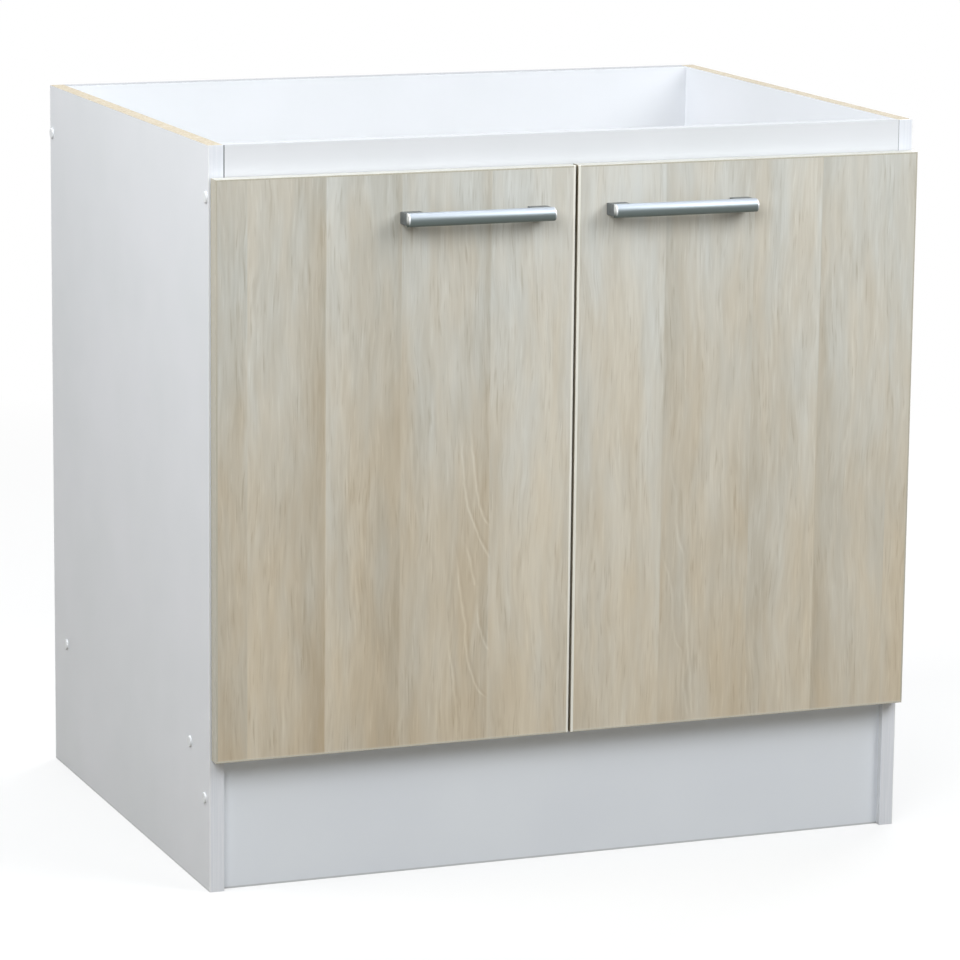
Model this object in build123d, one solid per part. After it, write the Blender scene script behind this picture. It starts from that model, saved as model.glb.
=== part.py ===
from build123d import *
import os
from math import sqrt

# Sink base cabinet: a board carcass open at the top, two full-overlay doors on concealed hinges.
# Millimetres. X runs across the cabinet, Y from the front to the back, Z up from the floor.
# The origin is on the floor, in the middle of the overall width and depth.

# ---- Carcass ----
cabinet_width = 800.0
cabinet_height = 790.0
carcass_depth = 582.0
board_thickness = 16.0
plinth_height = 140.0
plinth_setback = 8.0
rail_height = 108.0
carcass_band_thickness = 1.0

# ---- Doors ----
door_thickness = 16.0
door_side_inset = 1.5
door_middle_gap = 3.0
door_top_reveal = 33.0
door_bottom_lift = 4.0
door_back_gap = 2.0
door_band_thickness = 2.0
door_band_edge_radius = 0.8

# ---- Handles ----
handle_length = 164.0
handle_inner_inset = 32.5
handle_drop = 47.0
handle_projection = 28.0
handle_bar_height = 14.5
handle_bar_depth = 9.0
handle_bar_nose_radius = 6.0
handle_foot_length = 22.0
handle_foot_height = 12.5
handle_spigot_radius = 3.5
handle_spigot_length = 4.0
handle_screw_radius = 2.0
handle_screw_grip = 12.0
handle_screw_head_radius = 4.0
handle_screw_head_depth = 2.5

# ---- Connecting screws, caps and dowels ----
screw_head_radius = 5.0
screw_head_depth = 4.0
screw_shank_radius = 3.5
screw_thread_radius = 3.0
screw_length = 50.0
screw_tip_length = 4.0
screw_recess = 0.3
screw_socket_radius = 2.0
screw_socket_depth = 3.0
cap_radius = 6.0
cap_height = 2.0
cap_edge_radius = 1.2
cap_stem_radius = 1.8
cap_stem_length = 2.5
bottom_screw_front_inset = 66.0
bottom_screw_back_inset = 50.0
plinth_screw_drop = 41.0
dowel_radius = 4.0
dowel_length = 30.0
dowel_depth_in_side = 11.0
rail_dowel_offset = 32.0
bottom_dowel_offset = 32.0
plinth_dowel_height = 50.0

# ---- Concealed hinges: plan positions from the side's outer face and the carcass front ----
hinge_end_distance = 110.0
cup_edge_distance = 3.5
cup_radius = 17.5
cup_depth = 12.5
cup_wall = 1.0
cup_flange_thickness = 1.0
cup_flange_rim = 1.5
cup_wing_half_width = 5.0
cup_screw_offset = 9.5
cup_screw_spacing = 45.0
cup_screw_radius = 1.7
cup_screw_depth = 11.0
cup_screw_head_radius = 3.2
cup_screw_head_height = 1.6
hinge_pin_radius = 1.1
link_half_width = 2.4
link_thickness = 2.0
arm_nose_half_width = 2.6
arm_nose_half_height = 3.0
outer_link_arm_pin = (25.8, -4.3)
outer_link_bend = (16.8, -10.6)
outer_link_cup_pin = (10.0, -5.1)
inner_link_arm_pin = (34.2, -10.6)
inner_link_bend = (24.6, -8.5)
inner_link_cup_pin = (15.0, -3.2)
inner_link_eye_offset = (-0.06, -1.52)
inner_link_eye_play = 1.65
inner_link_eye_wall = 0.9
arm_neck_front = (24.0, 12.0)
arm_neck_back = (22.5, 26.0)
arm_width = 18.6
arm_sheet = 1.2
arm_top_rise = 6.3
plate_screw_distance = 37.0
plate_screw_spacing = 32.0
plate_length = 20.0
plate_width = 48.0
plate_thickness = 2.0
plate_rib_width = 16.0
plate_rib_rise = 5.0
plate_rib_front = 24.0
plate_rib_length = 40.0
plate_screw_radius = 2.5
plate_screw_depth = 12.0
plate_screw_head_radius = 4.0
plate_screw_head_height = 2.0

# ---- Bumpers ----
bumper_radius = 4.0
bumper_thickness = 1.7
bumper_side_inset = 12.0
bumper_top_drop = 21.0
bumper_bottom_lift = 6.0

# ---- Fits and clearances ----
bore_clearance = 0.05
running_clearance = 0.05
link_side_clearance = 0.3
arm_clip_clearance = 0.1
pin_end_clearance = 0.3
hole_end_clearance = 1.0
cut_overrun = 1.0

# ---- Levels and planes that follow from the sizes above ----
left_face = -cabinet_width / 2
side_inner = left_face + board_thickness
overall_front_reach = door_back_gap + door_thickness + handle_projection
carcass_front = -(carcass_depth - overall_front_reach) / 2
carcass_back = carcass_front + carcass_depth
board_front = carcass_front + carcass_band_thickness
bottom_base = plinth_height
bottom_top = bottom_base + board_thickness
rail_base = cabinet_height - rail_height
rail_middle = rail_base + rail_height / 2
front_rail_back = carcass_front + board_thickness
rear_rail_front = carcass_back - board_thickness
plinth_front = carcass_front + plinth_setback
door_back = carcass_front - door_back_gap
door_front = door_back - door_thickness
door_outer = left_face + door_side_inset
door_inner = -door_middle_gap / 2
door_base = bottom_base + door_bottom_lift
door_top = cabinet_height - door_top_reveal
handle_level = door_top - handle_drop
handle_end = door_inner - handle_inner_inset
handle_middle = handle_end - handle_length / 2
handle_front = door_front - handle_projection
foot_front = handle_front + handle_bar_depth
hinge_levels = [door_top - hinge_end_distance, door_base + hinge_end_distance]
cup_centre = door_side_inset + cup_edge_distance + cup_radius
cup_inner_radius = cup_radius - cup_wall


def block(x_low, x_high, y_low, y_high, z_low, z_high):
    """A board or bar between six planes."""
    size = (x_high - x_low, y_high - y_low, z_high - z_low)
    return Pos((x_low + x_high) / 2, (y_low + y_high) / 2, (z_low + z_high) / 2) * Box(*size)


def rod(radius, length):
    """A round bar that starts at the origin and runs along X."""
    return Rot(0, 90, 0) * Cylinder(radius, length, align=(Align.CENTER, Align.CENTER, Align.MIN))


def front_rod(radius, length):
    """A round bar that starts at the origin and runs towards the front, along -Y."""
    return Rot(90, 0, 0) * Cylinder(radius, length, align=(Align.CENTER, Align.CENTER, Align.MIN))


def turned(profile):
    """A solid turned about the X axis from a half outline of (distance, radius) points."""
    return revolve(Plane.XY * make_face(Polyline(*profile, close=True)), Axis.X, 360)


def mirrored(shape):
    """The same piece on the other side of the cabinet's middle plane."""
    return mirror(shape, about=Plane.YZ)


def all_of(shapes):
    """Separate solids kept as one group."""
    return Compound(children=list(shapes))


def plan_path(points, half_width):
    """A flat plate outline with round ends that follows plan points."""
    outline = None
    for point in points:
        disc = Pos(*point) * Circle(half_width)
        outline = disc if outline is None else outline + disc
    for start, end in zip(points, points[1:]):
        run = Vector(*end) - Vector(*start)
        middle = (Vector(*end) + Vector(*start)) * 0.5
        angle = Vector(1, 0, 0).get_signed_angle(run, Vector(0, 0, 1))
        outline += Pos(middle.X, middle.Y) * Rot(0, 0, angle) * Rectangle(run.length, 2 * half_width)
    return outline


def slab(outline, z_low, z_high):
    """A plan outline given a thickness between two levels."""
    return Pos(0, 0, z_low) * extrude(outline, amount=z_high - z_low)


def upright(radius, point, z_low, z_high):
    """A vertical pin or hole at a plan point."""
    return Pos(point[0], point[1], (z_low + z_high) / 2) * Cylinder(radius, z_high - z_low)


# ---- Connecting screws, caps and dowels ----
def connecting_screw(extra):
    """A screw along X with its head at the origin, or the hole for it when extra is its clearance."""
    head_end = screw_head_depth
    shank_end = board_thickness
    tip_start = screw_length - screw_tip_length
    head = screw_head_radius + extra
    shank = screw_shank_radius + extra
    thread = screw_thread_radius + extra
    outline = [(0, 0), (0, head), (head_end, shank), (shank_end, shank), (shank_end, thread),
               (tip_start, thread), (screw_length + extra, 0)]
    return turned(outline)


screw_places = [
    (carcass_front + board_thickness / 2, rail_middle),
    (carcass_back - board_thickness / 2, rail_middle),
    (carcass_front + bottom_screw_front_inset, bottom_base + board_thickness / 2),
    (carcass_back - bottom_screw_back_inset, bottom_base + board_thickness / 2),
    (plinth_front + board_thickness / 2, bottom_base - plinth_screw_drop),
]
rail_middles = [screw_places[0][0], screw_places[1][0]]
dowel_places = []
for rail_y in rail_middles:
    for side in (-1, 1):
        dowel_places.append((rail_y, rail_middle + side * rail_dowel_offset))
dowel_places.append((screw_places[2][0] + bottom_dowel_offset, screw_places[2][1]))
dowel_places.append((screw_places[3][0] - bottom_dowel_offset, screw_places[3][1]))
dowel_places.append((screw_places[4][0], plinth_dowel_height))

screw_start = left_face + screw_recess
dowel_start = side_inner - dowel_depth_in_side
left_screws = []
left_screw_holes = []
left_caps = []
for place_y, place_z in screw_places:
    place = Pos(screw_start, place_y, place_z)
    socket = rod(screw_socket_radius, screw_socket_depth)
    left_screws.append(place * (connecting_screw(0) - socket))
    left_screw_holes.append(place * connecting_screw(bore_clearance))
    head_recess = rod(screw_head_radius + bore_clearance, cut_overrun + screw_recess)
    left_screw_holes.append(Pos(left_face - cut_overrun, place_y, place_z) * head_recess)
    cap = Pos(-cap_height, 0, 0) * rod(cap_radius, cap_height)
    cap = fillet(cap.edges().group_by(Axis.X)[0], cap_edge_radius)
    cap += rod(cap_stem_radius, cap_stem_length)
    left_caps.append(Pos(left_face, place_y, place_z) * cap)
left_dowels = []
left_dowel_holes = []
for place_y, place_z in dowel_places:
    left_dowels.append(Pos(dowel_start, place_y, place_z) * rod(dowel_radius, dowel_length))
    hole = rod(dowel_radius + bore_clearance, dowel_length + 2 * hole_end_clearance)
    left_dowel_holes.append(Pos(dowel_start - hole_end_clearance, place_y, place_z) * hole)
left_holes = left_screw_holes + left_dowel_holes
both_side_holes = left_holes + [mirrored(hole) for hole in left_holes]


# ---- Concealed hinge pieces, in plan position, with the hinge's middle at level 0 ----
plate_screw_levels = [-plate_screw_spacing / 2, plate_screw_spacing / 2]
plate_face = board_thickness + plate_thickness
rib_face = plate_face + plate_rib_rise
arm_top = rib_face + arm_clip_clearance
arm_back = plate_rib_front + plate_rib_length
link_inner_level = arm_nose_half_height + link_side_clearance
link_outer_level = link_inner_level + link_thickness

plate_middle_y = plate_screw_distance
plate_base = block(board_thickness, plate_face, plate_middle_y - plate_length / 2,
                   plate_middle_y + plate_length / 2, -plate_width / 2, plate_width / 2)
plate_rib = block(board_thickness, rib_face, plate_rib_front, arm_back,
                  -plate_rib_width / 2, plate_rib_width / 2)
mounting_plate = plate_base + plate_rib
plate_screws = []
plate_pilot_holes = []
for level in plate_screw_levels:
    shank = Pos(board_thickness - plate_screw_depth, plate_middle_y, level) * rod(
        plate_screw_radius, plate_screw_depth + plate_thickness)
    head = Pos(plate_face, plate_middle_y, level) * rod(plate_screw_head_radius, plate_screw_head_height)
    plate_screws.append(shank + head)
    hole = Pos(board_thickness - plate_screw_depth - hole_end_clearance, plate_middle_y, level) * rod(
        plate_screw_radius + bore_clearance, plate_screw_depth + plate_thickness + 2 * hole_end_clearance)
    mounting_plate -= hole
    plate_pilot_holes.append(hole)

nose_outline = plan_path([outer_link_arm_pin, arm_neck_front, inner_link_arm_pin], arm_nose_half_width)
nose_outline += plan_path([outer_link_arm_pin, inner_link_arm_pin], arm_nose_half_width)
nose_outline += plan_path([arm_neck_front, arm_neck_back], arm_nose_half_width)
nose_outline += make_face(Polyline(outer_link_arm_pin, arm_neck_front, inner_link_arm_pin, close=True))
arm_nose = slab(nose_outline, -arm_nose_half_height, arm_nose_half_height)
arm_channel = block(arm_top - arm_top_rise + arm_sheet, arm_top + arm_sheet, arm_neck_back[1], arm_back,
                    -arm_width / 2, arm_width / 2)
arm_hollow = block(0, arm_top, arm_neck_back[1] - cut_overrun, arm_back + cut_overrun,
                   -plate_rib_width / 2 - arm_clip_clearance, plate_rib_width / 2 + arm_clip_clearance)
hinge_arm = arm_channel - arm_hollow
hinge_arm += arm_nose - block(0, arm_top, plate_rib_front - link_side_clearance, arm_back,
                              -arm_width / 2, arm_width / 2)
arm_pin_reach = link_outer_level + link_side_clearance
outer_arm_pin = upright(hinge_pin_radius, outer_link_arm_pin, -arm_nose_half_height, arm_pin_reach)
inner_arm_pin = upright(hinge_pin_radius, inner_link_arm_pin, -arm_pin_reach, arm_nose_half_height)
for point in (outer_link_arm_pin, inner_link_arm_pin):
    hinge_arm -= upright(hinge_pin_radius + bore_clearance, point, -arm_width, arm_width)

cup_place = Pos(cup_centre, -door_back_gap, 0)
cup_body = cup_place * front_rod(cup_radius - bore_clearance, cup_depth)
cup_floor = cup_depth - cup_wall
wing_u = cup_screw_offset
wing_z = cup_screw_spacing / 2
flange_outline = Circle(cup_radius + cup_flange_rim)
flange_outline += Pos(wing_u, 0) * SlotCenterToCenter(cup_screw_spacing, 2 * cup_wing_half_width, rotation=90)
flange = Rot(90, 0, 0) * extrude(flange_outline, amount=cup_flange_thickness)
cup_body += cup_place * Pos(0, cup_flange_thickness, 0) * flange
cup_hollow_length = cup_floor + cup_flange_thickness + cut_overrun
cup_hollow = Pos(0, cup_flange_thickness + cut_overrun, 0) * front_rod(cup_inner_radius, cup_hollow_length)
cup_body -= cup_place * cup_hollow


def cup_pin_reach(point):
    """How far up a cup pin may run before its end would leave the cup's wall."""
    outer = cup_radius - pin_end_clearance
    across = abs(point[0] - cup_centre) + hinge_pin_radius
    return sqrt(outer ** 2 - across ** 2)


pin_start = link_inner_level - link_side_clearance / 2
outer_cup_pin = upright(hinge_pin_radius, outer_link_cup_pin, pin_start, cup_pin_reach(outer_link_cup_pin))
inner_cup_pin = upright(hinge_pin_radius, inner_link_cup_pin, -cup_pin_reach(inner_link_cup_pin), -pin_start)
for point in (outer_link_cup_pin, inner_link_cup_pin):
    cup_body -= upright(hinge_pin_radius + bore_clearance, point, -cup_radius, cup_radius) & (
        cup_place * front_rod(cup_radius, cup_depth))
cup_screws = []
cup_pilot_holes = []
for side in (-1, 1):
    place = cup_place * Pos(wing_u, cup_flange_thickness, side * wing_z)
    head = place * Pos(0, cup_screw_head_height, 0) * front_rod(cup_screw_head_radius, cup_screw_head_height)
    cup_screws.append(head + place * front_rod(cup_screw_radius, cup_screw_depth))
    hole = place * front_rod(cup_screw_radius + bore_clearance, cup_screw_depth + hole_end_clearance)
    cup_body -= hole
    cup_pilot_holes.append(hole)
cup_bore_depth = cup_depth + bore_clearance
cup_bore = cup_place * Pos(0, cut_overrun, 0) * front_rod(cup_radius, cup_bore_depth + cut_overrun)

outer_link = slab(plan_path([outer_link_arm_pin, outer_link_bend, outer_link_cup_pin], link_half_width),
                  link_inner_level, link_outer_level)
eye_radius = hinge_pin_radius + running_clearance
for point in (outer_link_arm_pin, outer_link_cup_pin):
    outer_link -= upright(eye_radius, point, -arm_width, arm_width)
loose_eye = (inner_link_cup_pin[0] + inner_link_eye_offset[0], inner_link_cup_pin[1] + inner_link_eye_offset[1])
loose_radius = hinge_pin_radius + inner_link_eye_play
inner_outline = plan_path([inner_link_arm_pin, inner_link_bend, loose_eye], link_half_width)
inner_outline += Pos(*loose_eye) * Circle(loose_radius + inner_link_eye_wall)
inner_link = slab(inner_outline, -link_outer_level, -link_inner_level)
inner_link -= upright(eye_radius, inner_link_arm_pin, -arm_width, arm_width)
inner_link -= upright(loose_radius, loose_eye, -arm_width, arm_width)

hinge_pieces = {
    "hinge_mounting_plate": mounting_plate,
    "hinge_arm": hinge_arm,
    "hinge_arm_pins": all_of([outer_arm_pin, inner_arm_pin]),
    "hinge_cup": cup_body,
    "hinge_cup_pins": all_of([outer_cup_pin, inner_cup_pin]),
    "hinge_outer_link": outer_link,
    "hinge_inner_link": inner_link,
}


def at_hinge(shape, level):
    """A hinge piece moved from plan position to its level on the left side of the cabinet."""
    return Pos(left_face, carcass_front, level) * shape


parts = {}

# ---- Carcass boards ----
left_side = block(left_face, side_inner, board_front, carcass_back, 0, cabinet_height)
for hole in left_holes:
    left_side -= hole
for level in hinge_levels:
    for hole in plate_pilot_holes:
        left_side -= at_hinge(hole, level)
parts["left_side_panel"] = left_side
parts["right_side_panel"] = mirrored(left_side)
side_band = block(left_face, side_inner, carcass_front, board_front, 0, cabinet_height)
parts["left_side_edge_band"] = side_band
parts["right_side_edge_band"] = mirrored(side_band)

cross_boards = {
    "bottom_panel": (board_front, carcass_back, bottom_base, bottom_top),
    "plinth_board": (plinth_front, plinth_front + board_thickness, 0, plinth_height),
    "front_top_rail": (carcass_front, front_rail_back, rail_base, cabinet_height),
    "rear_top_rail": (rear_rail_front, carcass_back, rail_base, cabinet_height),
}
for name, (y_low, y_high, z_low, z_high) in cross_boards.items():
    board = block(side_inner, -side_inner, y_low, y_high, z_low, z_high)
    for hole in both_side_holes:
        board -= hole
    parts[name] = board
parts["bottom_panel_edge_band"] = block(side_inner, -side_inner, carcass_front, board_front,
                                        bottom_base, bottom_top)

# ---- Carcass fasteners ----
parts["connecting_screws"] = all_of(left_screws + [mirrored(screw) for screw in left_screws])
parts["left_screw_cover_caps"] = all_of(left_caps)
parts["right_screw_cover_caps"] = all_of([mirrored(cap) for cap in left_caps])
parts["dowels"] = all_of(left_dowels + [mirrored(dowel) for dowel in left_dowels])
left_plate_screws = [at_hinge(screw, level) for level in hinge_levels for screw in plate_screws]
parts["hinge_plate_screws"] = all_of(left_plate_screws + [mirrored(screw) for screw in left_plate_screws])

# ---- Left door, with its handle, bumpers and screws ----
door_blank = block(door_outer, door_inner, door_front, door_back, door_base, door_top)
panel = block(door_outer + door_band_thickness, door_inner - door_band_thickness, door_front, door_back,
              door_base + door_band_thickness, door_top - door_band_thickness)
band_outer = fillet(door_blank.edges().filter_by(Axis.Y, reverse=True), door_band_edge_radius)
door_band = band_outer - panel
for level in hinge_levels:
    panel -= at_hinge(cup_bore, level)
    for hole in cup_pilot_holes:
        panel -= at_hinge(hole, level)

handle_screws = []
handle_feet = []
handle_bar = block(handle_middle - handle_length / 2, handle_middle + handle_length / 2, handle_front,
                   foot_front, handle_level - handle_bar_height / 2, handle_level + handle_bar_height / 2)
front_edges = handle_bar.edges().filter_by(Axis.X).group_by(Axis.Y)[0]
handle_bar = fillet(front_edges, handle_bar_nose_radius)
screw_end = door_thickness + handle_screw_grip
screw_outline = [(0, 0), (0, handle_screw_head_radius), (handle_screw_head_depth, handle_screw_radius),
                 (screw_end, handle_screw_radius), (screw_end, 0)]
hole_end = screw_end + hole_end_clearance
hole_head_radius = handle_screw_head_radius + bore_clearance
hole_radius = handle_screw_radius + bore_clearance
hole_outline = [(-cut_overrun, 0), (-cut_overrun, hole_head_radius), (0, hole_head_radius),
                (handle_screw_head_depth, hole_radius), (hole_end, hole_radius), (hole_end, 0)]
for side in (-1, 1):
    foot_x = handle_middle + side * (handle_length - handle_foot_length) / 2
    foot = block(foot_x - handle_foot_length / 2, foot_x + handle_foot_length / 2, foot_front, door_front,
                 handle_level - handle_foot_height / 2, handle_level + handle_foot_height / 2)
    spigot = Pos(foot_x, foot_front, handle_level) * front_rod(handle_spigot_radius, handle_spigot_length)
    spigot_bore = Pos(foot_x, foot_front, handle_level) * front_rod(
        handle_spigot_radius + bore_clearance, handle_spigot_length + bore_clearance)
    handle_bar -= spigot_bore
    place = Pos(foot_x, door_back, handle_level) * Rot(0, 0, -90)
    screw_hole = place * turned(hole_outline)
    handle_screws.append(place * turned(screw_outline))
    handle_feet.append(foot + spigot - screw_hole)
    panel -= screw_hole

bumper_x = door_inner - bumper_side_inset
bumpers = []
for bumper_level in (door_top - bumper_top_drop, door_base + bumper_bottom_lift):
    dome = Pos(bumper_x, door_back + bumper_thickness, bumper_level) * front_rod(
        bumper_radius, bumper_thickness)
    bumpers.append(fillet(dome.edges().group_by(Axis.Y)[-1], bumper_thickness / 2))

door_pieces = {
    "door_panel": panel,
    "door_edge_band": door_band,
    "handle_bar": handle_bar,
    "handle_feet": all_of(handle_feet),
    "handle_screws": all_of(handle_screws),
    "door_bumpers": all_of(bumpers),
    "hinge_cup_screws": all_of([at_hinge(screw, level) for level in hinge_levels for screw in cup_screws]),
}
for name, shape in door_pieces.items():
    parts["left_" + name] = shape
    parts["right_" + name] = mirrored(shape)

# ---- Four hinges ----
for level_name, level in zip(("upper", "lower"), hinge_levels):
    for name, shape in hinge_pieces.items():
        left_piece = at_hinge(shape, level)
        parts["left_" + level_name + "_" + name] = left_piece
        parts["right_" + level_name + "_" + name] = mirrored(left_piece)

os.makedirs("parts", exist_ok=True)
for name, shape in parts.items():
    export_step(shape, "parts/" + name + ".step")
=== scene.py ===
import math

import bmesh
import bpy
from bpy.props import FloatProperty, FloatVectorProperty, PointerProperty
from mathutils import Matrix, Vector


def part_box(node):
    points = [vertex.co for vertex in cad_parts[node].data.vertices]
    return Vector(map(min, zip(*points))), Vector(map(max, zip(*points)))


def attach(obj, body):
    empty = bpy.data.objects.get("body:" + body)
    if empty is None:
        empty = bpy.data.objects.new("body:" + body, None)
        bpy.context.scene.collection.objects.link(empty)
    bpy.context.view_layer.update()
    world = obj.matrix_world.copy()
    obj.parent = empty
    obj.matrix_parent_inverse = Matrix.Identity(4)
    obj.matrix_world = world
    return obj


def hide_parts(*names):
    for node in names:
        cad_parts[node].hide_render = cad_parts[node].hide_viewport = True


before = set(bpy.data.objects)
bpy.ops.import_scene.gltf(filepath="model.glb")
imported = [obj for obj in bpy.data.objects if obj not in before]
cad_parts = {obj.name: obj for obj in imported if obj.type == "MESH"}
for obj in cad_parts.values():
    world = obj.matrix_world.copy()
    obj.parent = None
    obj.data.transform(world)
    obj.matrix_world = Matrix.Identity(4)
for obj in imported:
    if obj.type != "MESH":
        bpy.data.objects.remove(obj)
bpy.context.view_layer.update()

bl_info = {
    "name": "Sink base cabinet",
    "version": (1, 0, 0),
    "blender": (4, 5, 0),
    "location": "3D View > Sidebar > Cabinet",
    "description": "Dresses the boards, doors, handles, caps and hinges of a sink base cabinet",
    "category": "Object",
}

MM = 0.001
X, Y, Z = range(3)
SIDES = ("left", "right")
LEFT_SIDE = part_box("left_side_panel")
LEFT_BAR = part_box("left_handle_bar")
LEFT_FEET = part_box("left_handle_feet")
CARCASS_TOP = LEFT_SIDE[1].z
CARCASS_BACK = LEFT_SIDE[1].y
SIDE_INNER = -LEFT_SIDE[1].x
SIDE_OUTER = -LEFT_SIDE[0].x
# A point this near to a face counts as on it.
SKIN = 0.05 * MM
# A vertex this near to a level counts as on it.
NEAR = 0.1 * MM

MATH = "ShaderNodeMath"
MIX = "ShaderNodeMix"
RANGE = "ShaderNodeMapRange"
NOISE = "ShaderNodeTexNoise"
RAMP = "ShaderNodeValToRGB"
SPLIT = "ShaderNodeSeparateXYZ"

# Nearly all of a noise lies in the first of these ranges and most of it in the second. Only its
# peaks are above the third's first value.
WIDE = (0.3, 0.7)
CLOSE = (0.35, 0.65)
PEAKS = (0.6, 0.7)
# The range of a layer that darkens as much as it lightens.
CENTRED = (-0.5, 0.5)

# The staves of each door's wood from left to right: the width in millimetres, and the tone at the
# left edge, the middle and the right edge, where 0 is dark and 1 is light.
LEFT_STAVES = (
    (31.5, 0.34, 0.40, 0.42),
    (87.5, 0.58, 0.46, 0.16),
    (83.5, 0.68, 0.38, 0.16),
    (101.0, 0.42, 0.60, 0.32),
    (93.5, 0.62, 0.78, 0.70),
)
RIGHT_STAVES = (
    (100.0, 0.58, 0.80, 0.72),
    (104.0, 0.44, 0.60, 0.46),
    (80.3, 0.42, 0.58, 0.72),
    (85.0, 0.30, 0.60, 0.60),
    (27.7, 0.54, 0.56, 0.56),
)
# Growth lines, read from enlargements: the strength, then the points from the lowest up,
# each the distance to the left of the figure's edge and the height above the floor, in millimetres.
LEFT_LINES = (
    (0.9, ((1, 377), (10, 395), (17, 428), (22, 460), (25, 487))),
    (1.0, ((0, 342), (11, 363), (21, 385), (28, 407), (32, 448), (35, 488))),
    (0.7, ((17, 313), (20, 331), (25, 348), (31, 364))),
    (0.8, ((0, 242), (8, 260), (13, 274), (14, 300))),
    (0.9, ((0, 189), (12, 200), (19, 214), (24, 234), (30, 288), (39, 343), (43, 366))),
    (0.7, ((35, 146), (37, 185), (40, 208), (45, 241), (47, 279))),
)
RIGHT_LINES = (
    (0.5, ((7, 146), (8, 174), (13, 235), (17, 286), (19, 324), (27, 355), (30, 397), (37, 425),
           (36, 470))),
    (0.4, ((9, 146), (16, 174), (20, 222), (29, 239), (32, 281), (37, 309), (44, 332), (48, 376))),
)
# Each door's staves, the edge that its growth lines are measured from, whether they stop at it, and
# the lines.
DOOR_WOOD = {
    "left": (LEFT_STAVES, -94.0 * MM, True, LEFT_LINES),
    "right": (RIGHT_STAVES, 150.0 * MM, False, RIGHT_LINES),
}
# The width in millimetres that the growth lines' curves span, and that one line's profile spans.
FIGURE_WIDTH = 60.0
LINE_SPAN = 15.0
# The tones across a growth line, where 0.5 changes nothing, and how it fades at its two ends.
LINE_PROFILE = ((0.12, 0.5), (0.3, 0.3), (0.39, 0.5), (0.5, 1.0), (0.64, 0.5))
LINE_FADE = ((0.0, 0.0), (0.04, 1.0), (0.7, 1.0), (1.0, 0.0))

# Each lamp's name, the width of its square, its place and the point that it shines at, in metres.
MIDDLE = (0, 0, 0.45)
LAMPS = (
    ("key", 1.0, (1.3, -1.6, 1.7), MIDDLE),
    ("high", 1.2, (1.0, -1.4, 2.6), MIDDLE),
    ("front", 1.6, (-1.6, -2.2, 2.0), MIDDLE),
    ("side", 1.0, (-1.4, -0.2, 1.9), (-0.2, 0, 0.6)),
    ("back", 1.6, (0, 1.2, 2.4), (0, 0, 0.6)),
    ("right", 1.8, (2.1, 2.0, 1.8), MIDDLE),
)
# The photograph's camera, fitted to the cabinet's corners: metres, degrees and millimetres.
CAMERA_PLACE = (-1.790143, -4.552781, 1.349055)
CAMERA_TURN = (78.64, -0.58, -21.421)
SENSOR_WIDTH = 36.0
FLOOR_REACH = 12.0
FLOOR_DROP = 0.2 * MM


# ---- Colours and node building ----

def linear(colour):
    """The scene-linear RGB of an sRGB hex colour."""
    channels = [int(colour[start:start + 2], 16) / 255 for start in (1, 3, 5)]
    return tuple(c / 12.92 if c <= 0.04045 else ((c + 0.055) / 1.055) ** 2.4 for c in channels)


def add_node(tree, kind, inputs=(), **settings):
    """Adds a node, sets its properties and fills or links its inputs.

    inputs is a list in the order of the sockets, or a dictionary by their names or numbers. A node
    given as a value stands for its first output in use. A colour gets its alpha here.
    """
    node = tree.nodes.new(kind)
    for name, value in settings.items():
        setattr(node, name, value)
    for name, value in (inputs.items() if isinstance(inputs, dict) else enumerate(inputs)):
        socket = node.inputs[name]
        if isinstance(value, bpy.types.Node):
            value = next(output for output in value.outputs if output.enabled)
        if isinstance(value, bpy.types.NodeSocket):
            tree.links.new(value, socket)
        elif socket.type == "RGBA":
            socket.default_value = (*value, 1.0)
        else:
            socket.default_value = value
    return node


def new_material(name):
    """An empty material, its node tree and the piece's own coordinates."""
    material = bpy.data.materials.new(name)
    material.use_nodes = True
    tree = material.node_tree
    tree.nodes.clear()
    return material, tree, add_node(tree, "ShaderNodeTexCoord").outputs["Object"]


def surface(tree, colour, roughness, relief, depth, **constants):
    """The shader and its output. depth is the relief's height in millimetres."""
    bump = add_node(tree, "ShaderNodeBump",
                    {"Height": relief, "Strength": 1.0, "Distance": depth * MM})
    inputs = {"Base Color": colour, "Roughness": roughness, "Normal": bump}
    inputs.update({name.replace("_", " "): value for name, value in constants.items()})
    shader = add_node(tree, "ShaderNodeBsdfPrincipled", inputs)
    add_node(tree, "ShaderNodeOutputMaterial", {"Surface": shader})


def streaks(tree, place, across, along, long_axis, detail=2.0, seed=0.0):
    """A pattern drawn out along one axis, with grains of across by along millimetres."""
    scale = [1 / ((along if axis == long_axis else across) * MM) for axis in (X, Y, Z)]
    drawn = add_node(tree, "ShaderNodeVectorMath", [place, scale], operation="MULTIPLY")
    inputs = {"Vector": drawn, "W": seed, "Scale": 1.0, "Detail": detail}
    return add_node(tree, NOISE, inputs, noise_dimensions="4D")


def mottle(tree, place, size, low=0.0, high=1.0):
    """A cloudy pattern from low to high, with spots of about size millimetres."""
    spots = add_node(tree, NOISE, {"Vector": place, "Scale": 1 / (size * MM)})
    return add_node(tree, RANGE, [spots, *WIDE, low, high])


def set_stops(ramp, stops, interpolation="LINEAR"):
    """Gives a ramp a grey value at each stop."""
    ramp.interpolation = interpolation
    while len(ramp.elements) < len(stops):
        ramp.elements.new(1.0)
    for element, (at, tone) in zip(ramp.elements, stops):
        element.position = at
        element.color = (tone, tone, tone, 1.0)


# ---- Materials ----

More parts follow.
